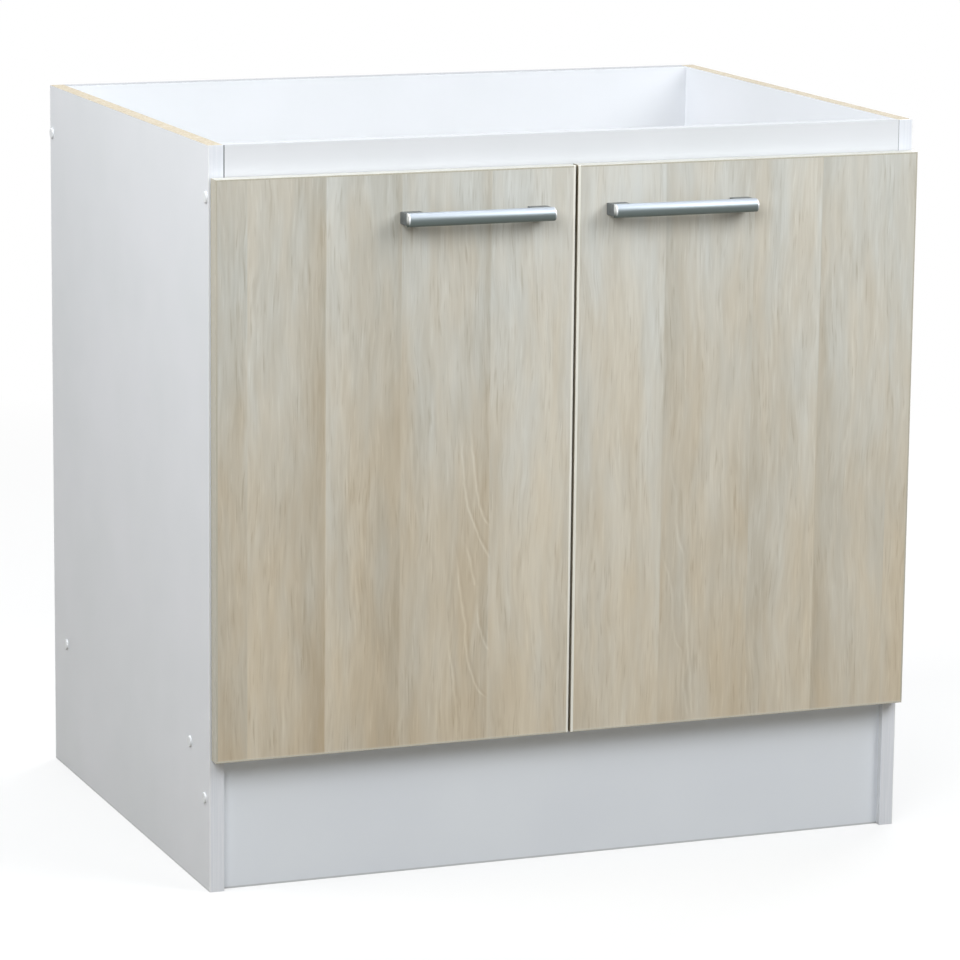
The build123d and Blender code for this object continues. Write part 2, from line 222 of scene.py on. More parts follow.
# Three-layer chipboard, sawn: a rough matt edge of pressed flakes about 2.4 mm across, straw
# coloured with darker flakes, and fine dust between them.
def chipboard_colour(tree, place, settings):
    """The flakes and dust of a sawn chipboard edge."""
    flakes = add_node(tree, "ShaderNodeTexVoronoi", {"Vector": place, "Scale": 1 / (2.4 * MM)})
    tone = add_node(tree, RANGE, [flakes.outputs["Color"], 0.15, 0.9])
    flaked = add_node(tree, MIX, {0: tone, 6: settings.chip_dark, 7: settings.chip_light},
                      data_type="RGBA")
    grit = add_node(tree, NOISE, {"Vector": place, "Scale": 1 / (0.7 * MM), "Detail": 3.0})
    dust = add_node(tree, RANGE, [grit, *CLOSE, 0.0, 0.35])
    return add_node(tree, MIX, {0: dust, 6: flaked, 7: settings.chip_mid}, data_type="RGBA")


# Melamine paper pressed on chipboard: an even cool white with a fine pearl relief, satin, so that
# its highlights are broad and dull. Sawn edges and glued strips are duller still.
def melamine(name, settings, tones, raw_edges=(), front_joint=None, top_strip=None, stands=False):
    """White melamine facing, with chipboard on the named cut edges.

    tones are its two whites. raw_edges holds (axis, sign, level) for each cut edge that no facing
    covers. front_joint holds the level of the front face and the distance from the middle at which
    the board's cut ends show there as a thin dark line, wider on the left, where the joint stands a
    little open. top_strip holds the two tones of the thin greyish strip on the upper edge, darker
    than the facing as painted shade. A board that stands on the floor has a slightly darker band of
    painted contact shadow along its lower arris.
    """
    raw_dulling, strip_dulling = 0.4, 0.45
    right_joint_share = 0.4
    material, tree, place = new_material(name)
    axes = add_node(tree, SPLIT, [place]).outputs
    cloud = mottle(tree, place, 160.0)
    colour = add_node(tree, MIX, {0: cloud, 6: tones[0], 7: tones[1]}, data_type="RGBA")
    gloss = mottle(tree, place, 30.0, 0.38, 0.46)
    # Painted contact shadow: a board that stands on the floor darkens over its lowest few
    # millimetres.
    if stands:
        contact_shade = add_node(tree, RANGE, [axes[Z], 2 * settings.contact_shade_height, settings.contact_shade_height])
        colour = add_node(tree, MIX, {0: contact_shade, 6: colour, 7: settings.contact_shade_colour},
                          data_type="RGBA")
    for axis, sign, level in raw_edges:
        beyond = "GREATER_THAN" if sign > 0 else "LESS_THAN"
        edge = add_node(tree, MATH, [axes[axis], level - sign * SKIN], operation=beyond)
        chips = chipboard_colour(tree, place, settings)
        colour = add_node(tree, MIX, {0: edge, 6: colour, 7: chips}, data_type="RGBA")
        gloss = add_node(tree, MATH, [edge, raw_dulling, gloss], operation="MULTIPLY_ADD")
    # Painted shade: the upper edge takes a greyish strip, darker than the facing.
    if top_strip is not None:
        fleck = add_node(tree, RANGE, [streaks(tree, place, 1.5, 60.0, X), *CLOSE])
        strip = add_node(tree, MIX, {0: fleck, 6: top_strip[1], 7: top_strip[0]}, data_type="RGBA")
        upper = add_node(tree, MATH, [axes[Z], CARCASS_TOP - SKIN], operation="GREATER_THAN")
        colour = add_node(tree, MIX, {0: upper, 6: colour, 7: strip}, data_type="RGBA")
        gloss = add_node(tree, MATH, [upper, strip_dulling, gloss], operation="MULTIPLY_ADD")
    if front_joint is not None:
        front, end = front_joint
        left_start = settings.joint_line - end
        right_start = end - settings.joint_line * right_joint_share
        left = add_node(tree, MATH, [axes[X], left_start], operation="LESS_THAN")
        right = add_node(tree, MATH, [axes[X], right_start], operation="GREATER_THAN")
        ends = add_node(tree, MATH, [left, right], operation="MAXIMUM")
        ahead = add_node(tree, MATH, [axes[Y], front + 2 * SKIN], operation="LESS_THAN")
        joint = add_node(tree, MATH, [ends, ahead], operation="MULTIPLY")
        colour = add_node(tree, MIX, {0: joint, 6: colour, 7: settings.joint_colour},
                          data_type="RGBA")
    pearl = add_node(tree, NOISE, {"Vector": place, "Scale": 1 / (1.1 * MM), "Detail": 1.0})
    surface(tree, colour, gloss, pearl, depth=0.02)
    return material


# Extruded plastic edge strip, glued and scraped: white, a little glossier than the facing, with
# faint lines along it, and a painted highlight along its outer arris.
def edge_strip(name, settings, long_axis, outer=None):
    """White edge strip. outer is how far from the middle its painted arris highlight lies, if it
    has one.
    """
    arris_start, arris_full = 1.4 * MM, 0.6 * MM
    material, tree, place = new_material(name)
    streak = add_node(tree, RANGE, [streaks(tree, place, 1.5, 60.0, long_axis), *CLOSE])
    colour = add_node(tree, MIX, {0: streak, 6: settings.strip_shade, 7: settings.strip_white},
                      data_type="RGBA")
    if outer is not None:
        # Painted highlight: the strip turns paler over its last 1.4 mm towards the outer arris.
        axes = add_node(tree, SPLIT, [place]).outputs
        away = add_node(tree, MATH, [axes[X]], operation="ABSOLUTE")
        arris = add_node(tree, RANGE, [away, outer - arris_start, outer - arris_full])
        colour = add_node(tree, MIX, {0: arris, 6: colour, 7: settings.strip_arris_highlight},
                          data_type="RGBA")
    gloss = mottle(tree, place, 6.0, 0.3, 0.4)
    surface(tree, colour, gloss, streak, depth=0.01)
    return material


# Extruded plastic edge strip near the wood's colour: greyish beige and satin. Paler on top as
# painted light; a painted highlight along the front by the other door and a little along the foot;
# the face where the doors meet darker as painted shade; darker along its back arris.
def door_strip(name, settings, strip):
    """A door's edge strip. strip is the box of the strip."""
    back_arris, front_arris, meeting_arris = 1.6 * MM, 1.2 * MM, 2.5 * MM
    foot_start, foot_full, foot_highlight = 2.6 * MM, 2.2 * MM, 0.2
    top_skin, meeting_skin = 0.3 * MM, 0.1 * MM
    low, high = strip
    meeting = min(abs(low.x), abs(high.x))
    material, tree, place = new_material(name)
    axes = add_node(tree, SPLIT, [place]).outputs
    streak = add_node(tree, RANGE, [streaks(tree, place, 1.2, 70.0, Z), *CLOSE])
    beige, pale, upper = [
        add_node(tree, MIX, {0: streak, 6: shade, 7: light}, data_type="RGBA")
        for shade, light in ((settings.strip_dark, settings.strip_beige),
                             (settings.arris_shade, settings.arris_highlight),
                             (settings.lit_strip_top_shade, settings.lit_strip_top))]
    # The strip is darker along its back arris.
    back = add_node(tree, MATH, [axes[Y], high.y - back_arris], operation="GREATER_THAN")
    # Painted light: the strip's upper face is paler than the rest of it.
    top = add_node(tree, MATH, [axes[Z], high.z - top_skin], operation="GREATER_THAN")
    away = add_node(tree, MATH, [axes[X]], operation="ABSOLUTE")
    # Painted shade: the face where the doors meet is darker than the rest of the strip.
    edge = add_node(tree, MATH, [away, meeting + meeting_skin], operation="LESS_THAN")
    # Painted highlight: the front of the strip by the other door, and faintly along the foot, turns
    # pale.
    front = add_node(tree, MATH, [axes[Y], low.y + front_arris], operation="LESS_THAN")
    inner = add_node(tree, MATH, [away, meeting + meeting_arris], operation="LESS_THAN")
    foot = add_node(tree, RANGE,
                    [axes[Z], low.z + foot_start, low.z + foot_full, 0.0, foot_highlight])
    rim = add_node(tree, MATH, [inner, foot], operation="MAXIMUM")
    arris = add_node(tree, MATH, [front, rim], operation="MULTIPLY")
    colour = beige
    for mask, over in ((back, settings.strip_back), (top, upper), (edge, settings.shaded_meeting_face),
                       (arris, pale)):
        colour = add_node(tree, MIX, {0: mask, 6: colour, 7: over}, data_type="RGBA")
    gloss = mottle(tree, place, 6.0, 0.4, 0.5)
    surface(tree, colour, gloss, streak, depth=0.01)
    return material


def growth_lines(tree, place, axes, edge, lines):
    """Curved growth lines, pale with a darker side: above 0 is paler and below 0 is darker.

    edge is the place across the door that the lines are measured from. Each of the lines is as in
    LEFT_LINES.
    """
    sway = 1.3 * MM
    wobble = streaks(tree, place, 14.0, 24.0, Z, 2.0, 3.0)
    wobble = add_node(tree, RANGE, [wobble, *WIDE, -sway, sway])
    wavy = add_node(tree, MATH, [axes[X], wobble], operation="ADD")
    aside = add_node(tree, RANGE, [wavy, edge, edge - FIGURE_WIDTH * MM, 0.0, 1.0], clamp=False)
    total = 0.0
    for strength, points in lines:
        low, high = points[0][1], points[-1][1]
        climb = add_node(tree, RANGE, [axes[Z], low * MM, high * MM])
        course = add_node(tree, "ShaderNodeFloatCurve", {"Value": climb})
        bends = course.mapping.curves[0].points
        while len(bends) < len(points):
            bends.new(0.5, 0.5)
        for bend, (distance, level) in zip(bends, points):
            bend.location = ((level - low) / (high - low), distance / FIGURE_WIDTH)
        course.mapping.update()
        off = add_node(tree, MATH, [aside, course], operation="SUBTRACT")
        spread = add_node(tree, MATH, [off, FIGURE_WIDTH / LINE_SPAN, 0.5],
                          operation="MULTIPLY_ADD")
        line = add_node(tree, RAMP, [spread])
        set_stops(line.color_ramp, LINE_PROFILE)
        shown = add_node(tree, RAMP, [climb])
        set_stops(shown.color_ramp, LINE_FADE)
        signed = add_node(tree, MATH, [line, -0.5], operation="ADD")
        signed = add_node(tree, MATH, [signed, shown], operation="MULTIPLY")
        total = add_node(tree, MATH, [signed, strength, total], operation="MULTIPLY_ADD")
    return total


def stave_tones(tree, axes, door, staves):
    """The staves' tone, and a number that makes each stave's grain differ from the others'."""
    blend = 0.0008
    first_seed, seed_step, seed_span = 0.07, 0.17, 90.0
    low, high = door
    across = add_node(tree, RANGE, [axes[X], low.x, high.x])
    whole = sum(stave[0] for stave in staves)
    tones, seeds = [], []
    start = 0.0
    for number, (width, left, middle, right) in enumerate(staves):
        end = start + width / whole
        tones += [(start + blend, left), ((start + end) / 2, middle), (end - blend, right)]
        seeds.append((start, first_seed + seed_step * number))
        start = end
    tone = add_node(tree, RAMP, [across])
    set_stops(tone.color_ramp, tones)
    seed = add_node(tree, RAMP, [across])
    set_stops(seed.color_ramp, seeds, "CONSTANT")
    return tone, add_node(tree, MATH, [seed, seed_span], operation="MULTIPLY")


# Printed melamine decor of light ash: upright staves with straight grain about 3 mm across, dark
# and pale pores, one run of arched growth lines, satin. Lighter towards the top as painted light,
# greyish above and warmer below as painted warm bounce light, with a painted highlight by the
# other door and along the foot. Real pores are about 0.3 mm across; these are 2 mm, so that they
# show.
def wood_decor(name, settings, door, wood):
    """The printed wood of one door. door is the box of its board, and wood is as in DOOR_WOOD."""
    staves, edge, stops_there, lines = wood
    low, high = door
    meeting = min(abs(low.x), abs(high.x))
    sway_width, meeting_skin, foot_highlight = 22 * MM, 0.2 * MM, 0.2
    material, tree, place = new_material(name)
    axes = add_node(tree, SPLIT, [place]).outputs
    tone, seed = stave_tones(tree, axes, door, staves)

    sway = streaks(tree, place, 60.0, 170.0, Z, 2.0, seed)
    sway = add_node(tree, MATH, [sway, -0.5], operation="ADD")
    bent = add_node(tree, MATH, [sway, sway_width, axes[X]], operation="MULTIPLY_ADD")
    grain = add_node(tree, "ShaderNodeCombineXYZ", [bent, axes[Y], axes[Z]])
    clouds, bands, fibres = [
        add_node(tree, RANGE, [streaks(tree, grain, *sizes, Z, detail, seed), *WIDE, *CENTRED])
        for sizes, detail in (((24.0, 150.0), 1.0), ((8.0, 62.0), 1.0), ((2.8, 40.0), 2.0))]
    patches = streaks(tree, grain, 20.0, 90.0, Z, 1.0, 7.0)
    patches = add_node(tree, RANGE, [patches, *CLOSE, 0.45, 1.6])
    fibres = add_node(tree, MATH, [fibres, patches], operation="MULTIPLY")
    pores = add_node(tree, RANGE, [streaks(tree, grain, 2.0, 34.0, Z, 1.0, seed), *PEAKS])
    pores = add_node(tree, MATH, [pores, patches], operation="MULTIPLY")
    paler = add_node(tree, RANGE, [streaks(tree, grain, 2.2, 38.0, Z, 1.0, 23.0), *PEAKS])
    growth = growth_lines(tree, place, axes, edge, lines)
    if stops_there:
        inside = add_node(tree, MATH, [axes[X], edge], operation="LESS_THAN")
        growth = add_node(tree, MATH, [growth, inside], operation="MULTIPLY")

    light = tone
    for layer, strength in ((clouds, 0.27), (bands, 0.18), (fibres, 0.24), (pores, -0.24),
                            (paler, 0.16), (growth, 0.95)):
        light = add_node(tree, MATH, [layer, strength, light], operation="MULTIPLY_ADD")
    height = add_node(tree, RANGE, [axes[Z], low.z, high.z])
    # Painted light: the decor turns lighter over the upper half of the door.
    painted_top_light = add_node(tree, RANGE, [height, 0.45, 1.0, 0.0, 0.12])
    light = add_node(tree, MATH, [light, painted_top_light], operation="ADD")

    cool, warm = [
        add_node(tree, MIX, {0: light, 6: dark, 7: pale}, data_type="RGBA")
        for dark, pale in ((settings.grain_dark_cool, settings.grain_light_cool),
                           (settings.grain_dark_warm, settings.grain_light_warm))]
    warmth = streaks(tree, grain, 30.0, 160.0, Z, 2.0, seed)
    warmth = add_node(tree, RANGE, [warmth, 0.34, 0.66, -0.25, 0.25])
    # Painted warm bounce light: the wood turns warmer towards the bottom, over its random warmth.
    painted_warm_bounce = add_node(tree, RANGE, [height, 0.0, 1.0, 0.9, 0.1])
    warmth_and_bounce = add_node(tree, MATH, [warmth, painted_warm_bounce], operation="ADD")
    ash = add_node(tree, MIX, {0: warmth_and_bounce, 6: cool, 7: warm}, data_type="RGBA")

    # Painted highlight: a pale line on the facing by the other door, and faintly along the foot.
    away = add_node(tree, MATH, [axes[X]], operation="ABSOLUTE")
    highlit = add_node(tree, RANGE,
                       [away, meeting + settings.arris_width, meeting + meeting_skin])
    foot = add_node(tree, RANGE,
                    [axes[Z], low.z + 2 * settings.arris_width, low.z, 0.0, foot_highlight])
    highlit = add_node(tree, MATH, [highlit, foot], operation="MAXIMUM")
    colour = add_node(tree, MIX, {0: highlit, 6: ash, 7: settings.arris_highlight}, data_type="RGBA")
    relief = add_node(tree, MATH, [fibres, 0.5], operation="MULTIPLY")
    relief = add_node(tree, MATH, [relief, pores], operation="SUBTRACT")
    gloss = add_node(tree, RANGE, [fibres, *CENTRED, 0.44, 0.54])
    surface(tree, colour, gloss, relief, depth=0.03)
    return material


# Satin anodised aluminium, drawn, with lines along the bar. A soft painted highlight along the top
# falls off quickly to painted shade on the underside, and the upper part of each end carries a
# painted highlight. Real drawn lines are a few hundredths of a millimetre wide; these are 0.35 mm,
# so that they show.
def drawn_bar(name, settings, bar):
    """The handle bar's aluminium. bar is the box of the left bar."""
    shade_below, light_above = 0.5 * MM, 1.2 * MM
    end_start, end_full = 1.6 * MM, 0.6 * MM
    low, high = bar
    material, tree, place = new_material(name)
    axes = add_node(tree, SPLIT, [place]).outputs
    drawn = add_node(tree, RANGE, [streaks(tree, place, 0.35, 40.0, X), *WIDE])
    # Painted light and shade: the colour runs from the lit tone at the top to the shaded tone
    # below.
    height = add_node(tree, RANGE, [axes[Z], low.z + shade_below, high.z - light_above])
    painted_shading = add_node(tree, MATH, [height, settings.bar_falloff], operation="POWER")
    painted_shading = add_node(tree, MATH, [drawn, 0.05, painted_shading], operation="MULTIPLY_ADD")
    colour = add_node(tree, MIX, {0: painted_shading, 6: settings.bar_shaded_underside, 7: settings.bar_lit_top},
                      data_type="RGBA")
    # Painted highlight: the upper part of each end of the bar turns bright.
    away = add_node(tree, MATH, [axes[X]], operation="ABSOLUTE")
    outer = add_node(tree, RANGE, [away, -low.x - end_start, -low.x - end_full])
    inner = add_node(tree, RANGE, [away, -high.x + end_start, -high.x + end_full])
    ends = add_node(tree, MATH, [outer, inner], operation="MAXIMUM")
    upper = add_node(tree, RANGE, [height, 0.15, 0.6])
    ends = add_node(tree, MATH, [ends, upper], operation="MULTIPLY")
    colour = add_node(tree, MIX, {0: ends, 6: colour, 7: settings.bar_end_highlight}, data_type="RGBA")
    gloss = add_node(tree, RANGE, [drawn, 0.0, 1.0, 0.42, 0.5])
    surface(tree, colour, gloss, drawn, depth=0.004, Metallic=1.0)
    return material


# Plated steel, pressed or turned: nickel is warm and fairly bright, zinc is cooler and duller. Fine
# tool lines, drawn coarser than the real ones so that they show, and a faint cloudiness.
def plated_steel(name, light, shade, roughness, across, along):
    """Plated steel with fine lines from front to back, across by along millimetres."""
    material, tree, place = new_material(name)
    drawn = add_node(tree, RANGE, [streaks(tree, place, across, along, Y), *WIDE])
    cloud = mottle(tree, place, 14.0, 0.0, 0.5)
    tone = add_node(tree, MATH, [drawn, 0.5, cloud], operation="MULTIPLY_ADD")
    colour = add_node(tree, MIX, {0: tone, 6: shade, 7: light}, data_type="RGBA")
    gloss = add_node(tree, RANGE, [drawn, 0.0, 1.0, roughness - 0.05, roughness + 0.05])
    surface(tree, colour, gloss, drawn, depth=0.004, Metallic=1.0)
    return material


# Moulded plastic, paint or clear rubber: an even colour under a fine orange-peel skin, so that its
# highlights are soft at their edges.
def moulded(name, light, shade, roughness, **constants):
    """A moulded or sprayed skin with a slight cloudiness."""
    material, tree, place = new_material(name)
    cloud = mottle(tree, place, 9.0)
    colour = add_node(tree, MIX, {0: cloud, 6: light, 7: shade}, data_type="RGBA")
    skin = add_node(tree, NOISE, {"Vector": place, "Scale": 1 / (0.6 * MM), "Detail": 1.0})
    gloss = add_node(tree, RANGE, [skin, *WIDE, roughness - 0.04, roughness + 0.06])
    surface(tree, colour, gloss, skin, depth=0.01, **constants)
    return material


# Turned beech, unfinished: pale pinkish wood, matt, with close straight grain and the short dark
# flecks of beech.
def beech(name, light, shade):
    """The wood of the dowels, whose grain runs across the cabinet."""
    fleck_strength = -0.6
    material, tree, place = new_material(name)
    grain = add_node(tree, RANGE, [streaks(tree, place, 0.8, 25.0, X), *WIDE])
    flecks = add_node(tree, RANGE, [streaks(tree, place, 0.4, 2.5, X), 0.62, 0.7])
    tone = add_node(tree, MATH, [flecks, fleck_strength, grain], operation="MULTIPLY_ADD")
    colour = add_node(tree, MIX, {0: tone, 6: shade, 7: light}, data_type="RGBA")
    gloss = add_node(tree, RANGE, [grain, 0.0, 1.0, 0.6, 0.7])
    surface(tree, colour, gloss, grain, depth=0.03)
    return material


# Matt pale studio floor: it keeps the object's shadow, and turns plain white further away. It
# lights the cabinet as the warmer grey of the photograph's floor does.
def studio_floor_paint(name, settings):
    """The floor's matt paint."""
    material, tree, place = new_material(name)
    cloud = mottle(tree, place, 900.0, 0.985, 1.0)
    colour = add_node(tree, MIX, {0: 1.0, 6: settings.floor_colour, 7: cloud}, data_type="RGBA",
                      blend_type="MULTIPLY")
    seen = seen_directly(tree)
    colour = add_node(tree, MIX, {0: seen, 6: settings.floor_bounce, 7: colour}, data_type="RGBA")
    matt = add_node(tree, "ShaderNodeBsdfDiffuse", {"Color": colour})
    white = add_node(tree, "ShaderNodeEmission", {"Color": (1, 1, 1), "Strength": 1.0})
    distance = add_node(tree, "ShaderNodeVectorMath", [place], operation="LENGTH")
    plain = add_node(tree, RANGE,
                     [distance.outputs["Value"], settings.floor_fade_start,
                      settings.floor_fade_end, settings.floor_white_near, 1.0])
    share = add_node(tree, MATH, [seen, plain], operation="MULTIPLY")
    mixed = add_node(tree, "ShaderNodeMixShader", [share, matt, white])
    add_node(tree, "ShaderNodeOutputMaterial", {"Surface": mixed})
    return material


def seen_directly(tree):
    """1 for rays from the camera, from gloss and through clear material, and 0 for the rest."""
    rays = add_node(tree, "ShaderNodeLightPath").outputs
    seen = add_node(tree, MATH, [rays["Is Camera Ray"], rays["Is Glossy Ray"]],
                    operation="MAXIMUM")
    return add_node(tree, MATH, [seen, rays["Is Transmission Ray"]], operation="MAXIMUM")


# ---- Meshes, lamps and the room ----

def finish_piece(name, maker, body, replaced, material):
    """Turns a bmesh into a piece that rides on a body and stands for CAD nodes."""
    smooth_angle, doubles = 35.0, 0.005 * MM
    mesh = bpy.data.meshes.new(name)
    bmesh.ops.remove_doubles(maker, verts=maker.verts, dist=doubles)
    bmesh.ops.recalc_face_normals(maker, faces=maker.faces)
    maker.to_mesh(mesh)
    maker.free()
    mesh.shade_smooth()
    mesh.set_sharp_from_angle(angle=math.radians(smooth_angle))
    mesh.materials.append(material)
    piece = bpy.data.objects.new(name, mesh)
    bpy.context.scene.collection.objects.link(piece)
    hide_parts(*replaced)
    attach(piece, body)


def add_block(maker, low, high):
    """A block between two corners, added to the bmesh. Returns its vertices."""
    low, high = Vector(low), Vector(high)
    place = Matrix.Translation((low + high) / 2) @ Matrix.Diagonal((*(high - low), 1.0))
    return bmesh.ops.create_cube(maker, size=1.0, matrix=place)["verts"]


def edges_of(verts):
    """The edges whose two ends are both among the given vertices."""
    chosen = set(verts)
    return list({edge for vert in verts for edge in vert.link_edges if set(edge.verts) <= chosen})


def edges_at(maker, axis, *levels):
    """The edges that lie wholly at one of the levels along an axis."""
    return [edge for edge in maker.edges
            if any(all(abs(vert.co[axis] - level) < NEAR for vert in edge.verts)
                   for level in levels)]


def round_edges(maker, edges, radius, segments):
    """Rounds edges to a radius."""
    bmesh.ops.bevel(maker, geom=edges, offset=radius, offset_type="OFFSET", affect="EDGES",
                    segments=segments, profile=0.5, material=-1, clamp_overlap=True)


def mirror_maker(maker):
    """Turns a left-hand shape into the right-hand one about the cabinet's middle plane."""
    bmesh.ops.scale(maker, vec=(-1.0, 1.0, 1.0), verts=maker.verts)


def dress(node, material):
    """Gives a CAD node's object its material."""
    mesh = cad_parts[node].data
    mesh.materials.clear()
    mesh.materials.append(material)


def aimed_lamp(name, colour, power, size, place, target):
    """A square area lamp that shines at a point."""
    lamp = bpy.data.lights.new(name, "AREA")
    lamp.color = colour
    lamp.energy = power
    lamp.size = size
    holder = bpy.data.objects.new(name, lamp)
    holder.location = place
    aim = Vector(target) - Vector(place)
    holder.rotation_euler = aim.to_track_quat("-Z", "Y").to_euler()
    bpy.context.scene.collection.objects.link(holder)


# ---- Settings ----

class CabinetBoardSettings(bpy.types.PropertyGroup):
    """Colours and fine sizes of the white boards."""

    white: FloatVectorProperty(
        name="White facing", description="Colour of the melamine facing",
        subtype="COLOR", default=linear("#E9EBF0"))
    white_shade: FloatVectorProperty(
        name="Facing shade", description="Second tone of the facing",
        subtype="COLOR", default=linear("#E4E7EB"))
    # Painted light: the plinth has a whiter, bluer copy of the same melamine facing.
    plinth_lit_white: FloatVectorProperty(
        name="Plinth facing", description="Colour of the plinth board's facing",
        subtype="COLOR", default=linear("#F3F8FF"))
    plinth_lit_shade: FloatVectorProperty(
        name="Plinth shade", description="Second tone of the plinth board",
        subtype="COLOR", default=linear("#EEF3FB"))
    strip_white: FloatVectorProperty(
        name="White edge strip", description="Colour of the carcass edge strips",
        subtype="COLOR", default=linear("#F2F5FC"))
    strip_shade: FloatVectorProperty(
        name="Edge strip shade", description="Second tone of those strips",
        subtype="COLOR", default=linear("#EAEEF6"))
    # Painted highlight along the outer arris of the upright strips.
    strip_arris_highlight: FloatVectorProperty(
        name="Edge strip arris", description="Scraped outer arris of those strips",
        subtype="COLOR", default=linear("#F8FAFE"))
    # Painted shade: the rails' upper edges are kept greyer than the facing.
    rail_edge: FloatVectorProperty(
        name="Rail edge", description="Greyish strip on the front rail's upper edge",
        subtype="COLOR", default=linear("#C6C8CC"))
    rail_edge_shade: FloatVectorProperty(
        name="Rail edge shade", description="Second tone of that strip",
        subtype="COLOR", default=linear("#BDC0C4"))
    # Painted shade: the rear rail's upper edge is greyer still.
    rear_edge: FloatVectorProperty(
        name="Rear rail edge", description="Strip on the rear rail's upper edge",
        subtype="COLOR", default=linear("#AEB0B4"))
    rear_edge_shade: FloatVectorProperty(
        name="Rear edge shade", description="Second tone of that strip",
        subtype="COLOR", default=linear("#A7A9AD"))
    # Painted contact shadow along the foot of the standing boards: its tone and its height.
    contact_shade_colour: FloatVectorProperty(
        name="Foot line", description="Chipped lower arris of the standing boards",
        subtype="COLOR", default=linear("#D2D5D9"))
    contact_shade_height: FloatProperty(
        name="Foot line height", description="Height of that line",
        default=1.2 * MM, unit="LENGTH")
    chip_light: FloatVectorProperty(
        name="Light chips", description="Lightest flakes of the raw board",
        subtype="COLOR", default=linear("#C1BAA9"))
    chip_mid: FloatVectorProperty(
        name="Wood dust", description="Fine dust between the flakes",
        subtype="COLOR", default=linear("#B6AB98"))
    chip_dark: FloatVectorProperty(
        name="Dark chips", description="Darkest flakes of the raw board",
        subtype="COLOR", default=linear("#A7987F"))
    joint_colour: FloatVectorProperty(
        name="Joint line", description="Cut arris seen at a board joint",
        subtype="COLOR", default=linear("#74767C"))
    joint_line: FloatProperty(
        name="Joint line width", description="Width of the line at a board joint",
        default=1.3 * MM, unit="LENGTH")


class CabinetDoorSettings(bpy.types.PropertyGroup):
    """Colours of the printed wood decor and of the doors' edge strips."""

    grain_light_cool: FloatVectorProperty(
        name="Light cool grain", description="Light greyish wood",
        subtype="COLOR", default=linear("#DDDED9"))
    grain_dark_cool: FloatVectorProperty(
        name="Dark cool grain", description="Dark greyish wood",
        subtype="COLOR", default=linear("#B5B2A6"))
    grain_light_warm: FloatVectorProperty(
        name="Light warm grain", description="Light pinkish wood",
        subtype="COLOR", default=linear("#E2D7C2"))
    grain_dark_warm: FloatVectorProperty(
        name="Dark warm grain", description="Dark pinkish wood",
        subtype="COLOR", default=linear("#BEAD92"))
    strip_beige: FloatVectorProperty(
        name="Edge strip", description="Colour of the doors' edge strips",
        subtype="COLOR", default=linear("#C5C0B2"))
    strip_dark: FloatVectorProperty(
        name="Edge strip shade", description="Second tone of those strips",
        subtype="COLOR", default=linear("#BAB5A5"))
    # A darker tone along the strips' back arris.
    strip_back: FloatVectorProperty(
        name="Back arris", description="Glue line along the strips' back arris",
        subtype="COLOR", default=linear("#969070"))
    # Painted shade on the flat face where the doors meet.
    shaded_meeting_face: FloatVectorProperty(
        name="Meeting edge", description="Flat face where the doors meet",
        subtype="COLOR", default=linear("#8C836E"))
    # Painted light: the doors' upper strips are paler than the other strips.
    lit_strip_top: FloatVectorProperty(
        name="Upper edge strip", description="The doors' upper edge strips",
        subtype="COLOR", default=linear("#D5D5CF"))
    lit_strip_top_shade: FloatVectorProperty(
        name="Upper strip shade", description="Second tone of those strips",
        subtype="COLOR", default=linear("#CDCDC5"))
    # Painted highlight: the pale line on the doors by their meeting edges and feet, its width and
    # tones.
    arris_width: FloatProperty(
        name="Arris width", description="Width of the scraped line on the facing",
        default=0.9 * MM, unit="LENGTH")
    arris_highlight: FloatVectorProperty(
        name="Arris", description="Pale line where the strip was scraped",
        subtype="COLOR", default=linear("#FBF9F0"))
    arris_shade: FloatVectorProperty(
        name="Arris shade", description="Second tone of the scraped line",
        subtype="COLOR", default=linear("#F4F1E6"))


class CabinetHandleSettings(bpy.types.PropertyGroup):
    """Sizes and colours of the bar handles."""

    nose_radius: FloatProperty(
        name="Nose radius", description="Rounding of the bar's two front edges",
        default=7.1 * MM, unit="LENGTH")
    end_radius: FloatProperty(
        name="End rounding", description="Rounding of the bar's ends and of the feet",
        default=0.5 * MM, unit="LENGTH")
    # Painted light and shade of the bar: lit tone on top, shaded tone underneath, and how fast the
    # shade takes over.
    bar_lit_top: FloatVectorProperty(
        name="Bar", description="Aluminium of the bar's upper side",
        subtype="COLOR", default=linear("#CBD4E0"))
    bar_shaded_underside: FloatVectorProperty(
        name="Bar shade", description="Duller aluminium of its underside",
        subtype="COLOR", default=linear("#5A635F"))
    bar_falloff: FloatProperty(
        name="Bar fall-off", description="How quickly the bar dulls below its top",
        default=3.6, min=0.5)
    # Painted highlight on the upper part of the bar's ends.
    bar_end_highlight: FloatVectorProperty(
        name="Bar end", description="Bright arris at the bar's cut ends",
        subtype="COLOR", default=linear("#F0F3F6"))
    foot_length: FloatProperty(
        name="Foot length", description="Length of each foot along the bar",
        default=22 * MM, unit="LENGTH")
    foot_light: FloatVectorProperty(
        name="Foot", description="Light tone of the handle's feet",
        subtype="COLOR", default=linear("#6F7476"))
    foot_shade: FloatVectorProperty(
        name="Foot shade", description="Second tone of the handle's feet",
        subtype="COLOR", default=linear("#5D6264"))


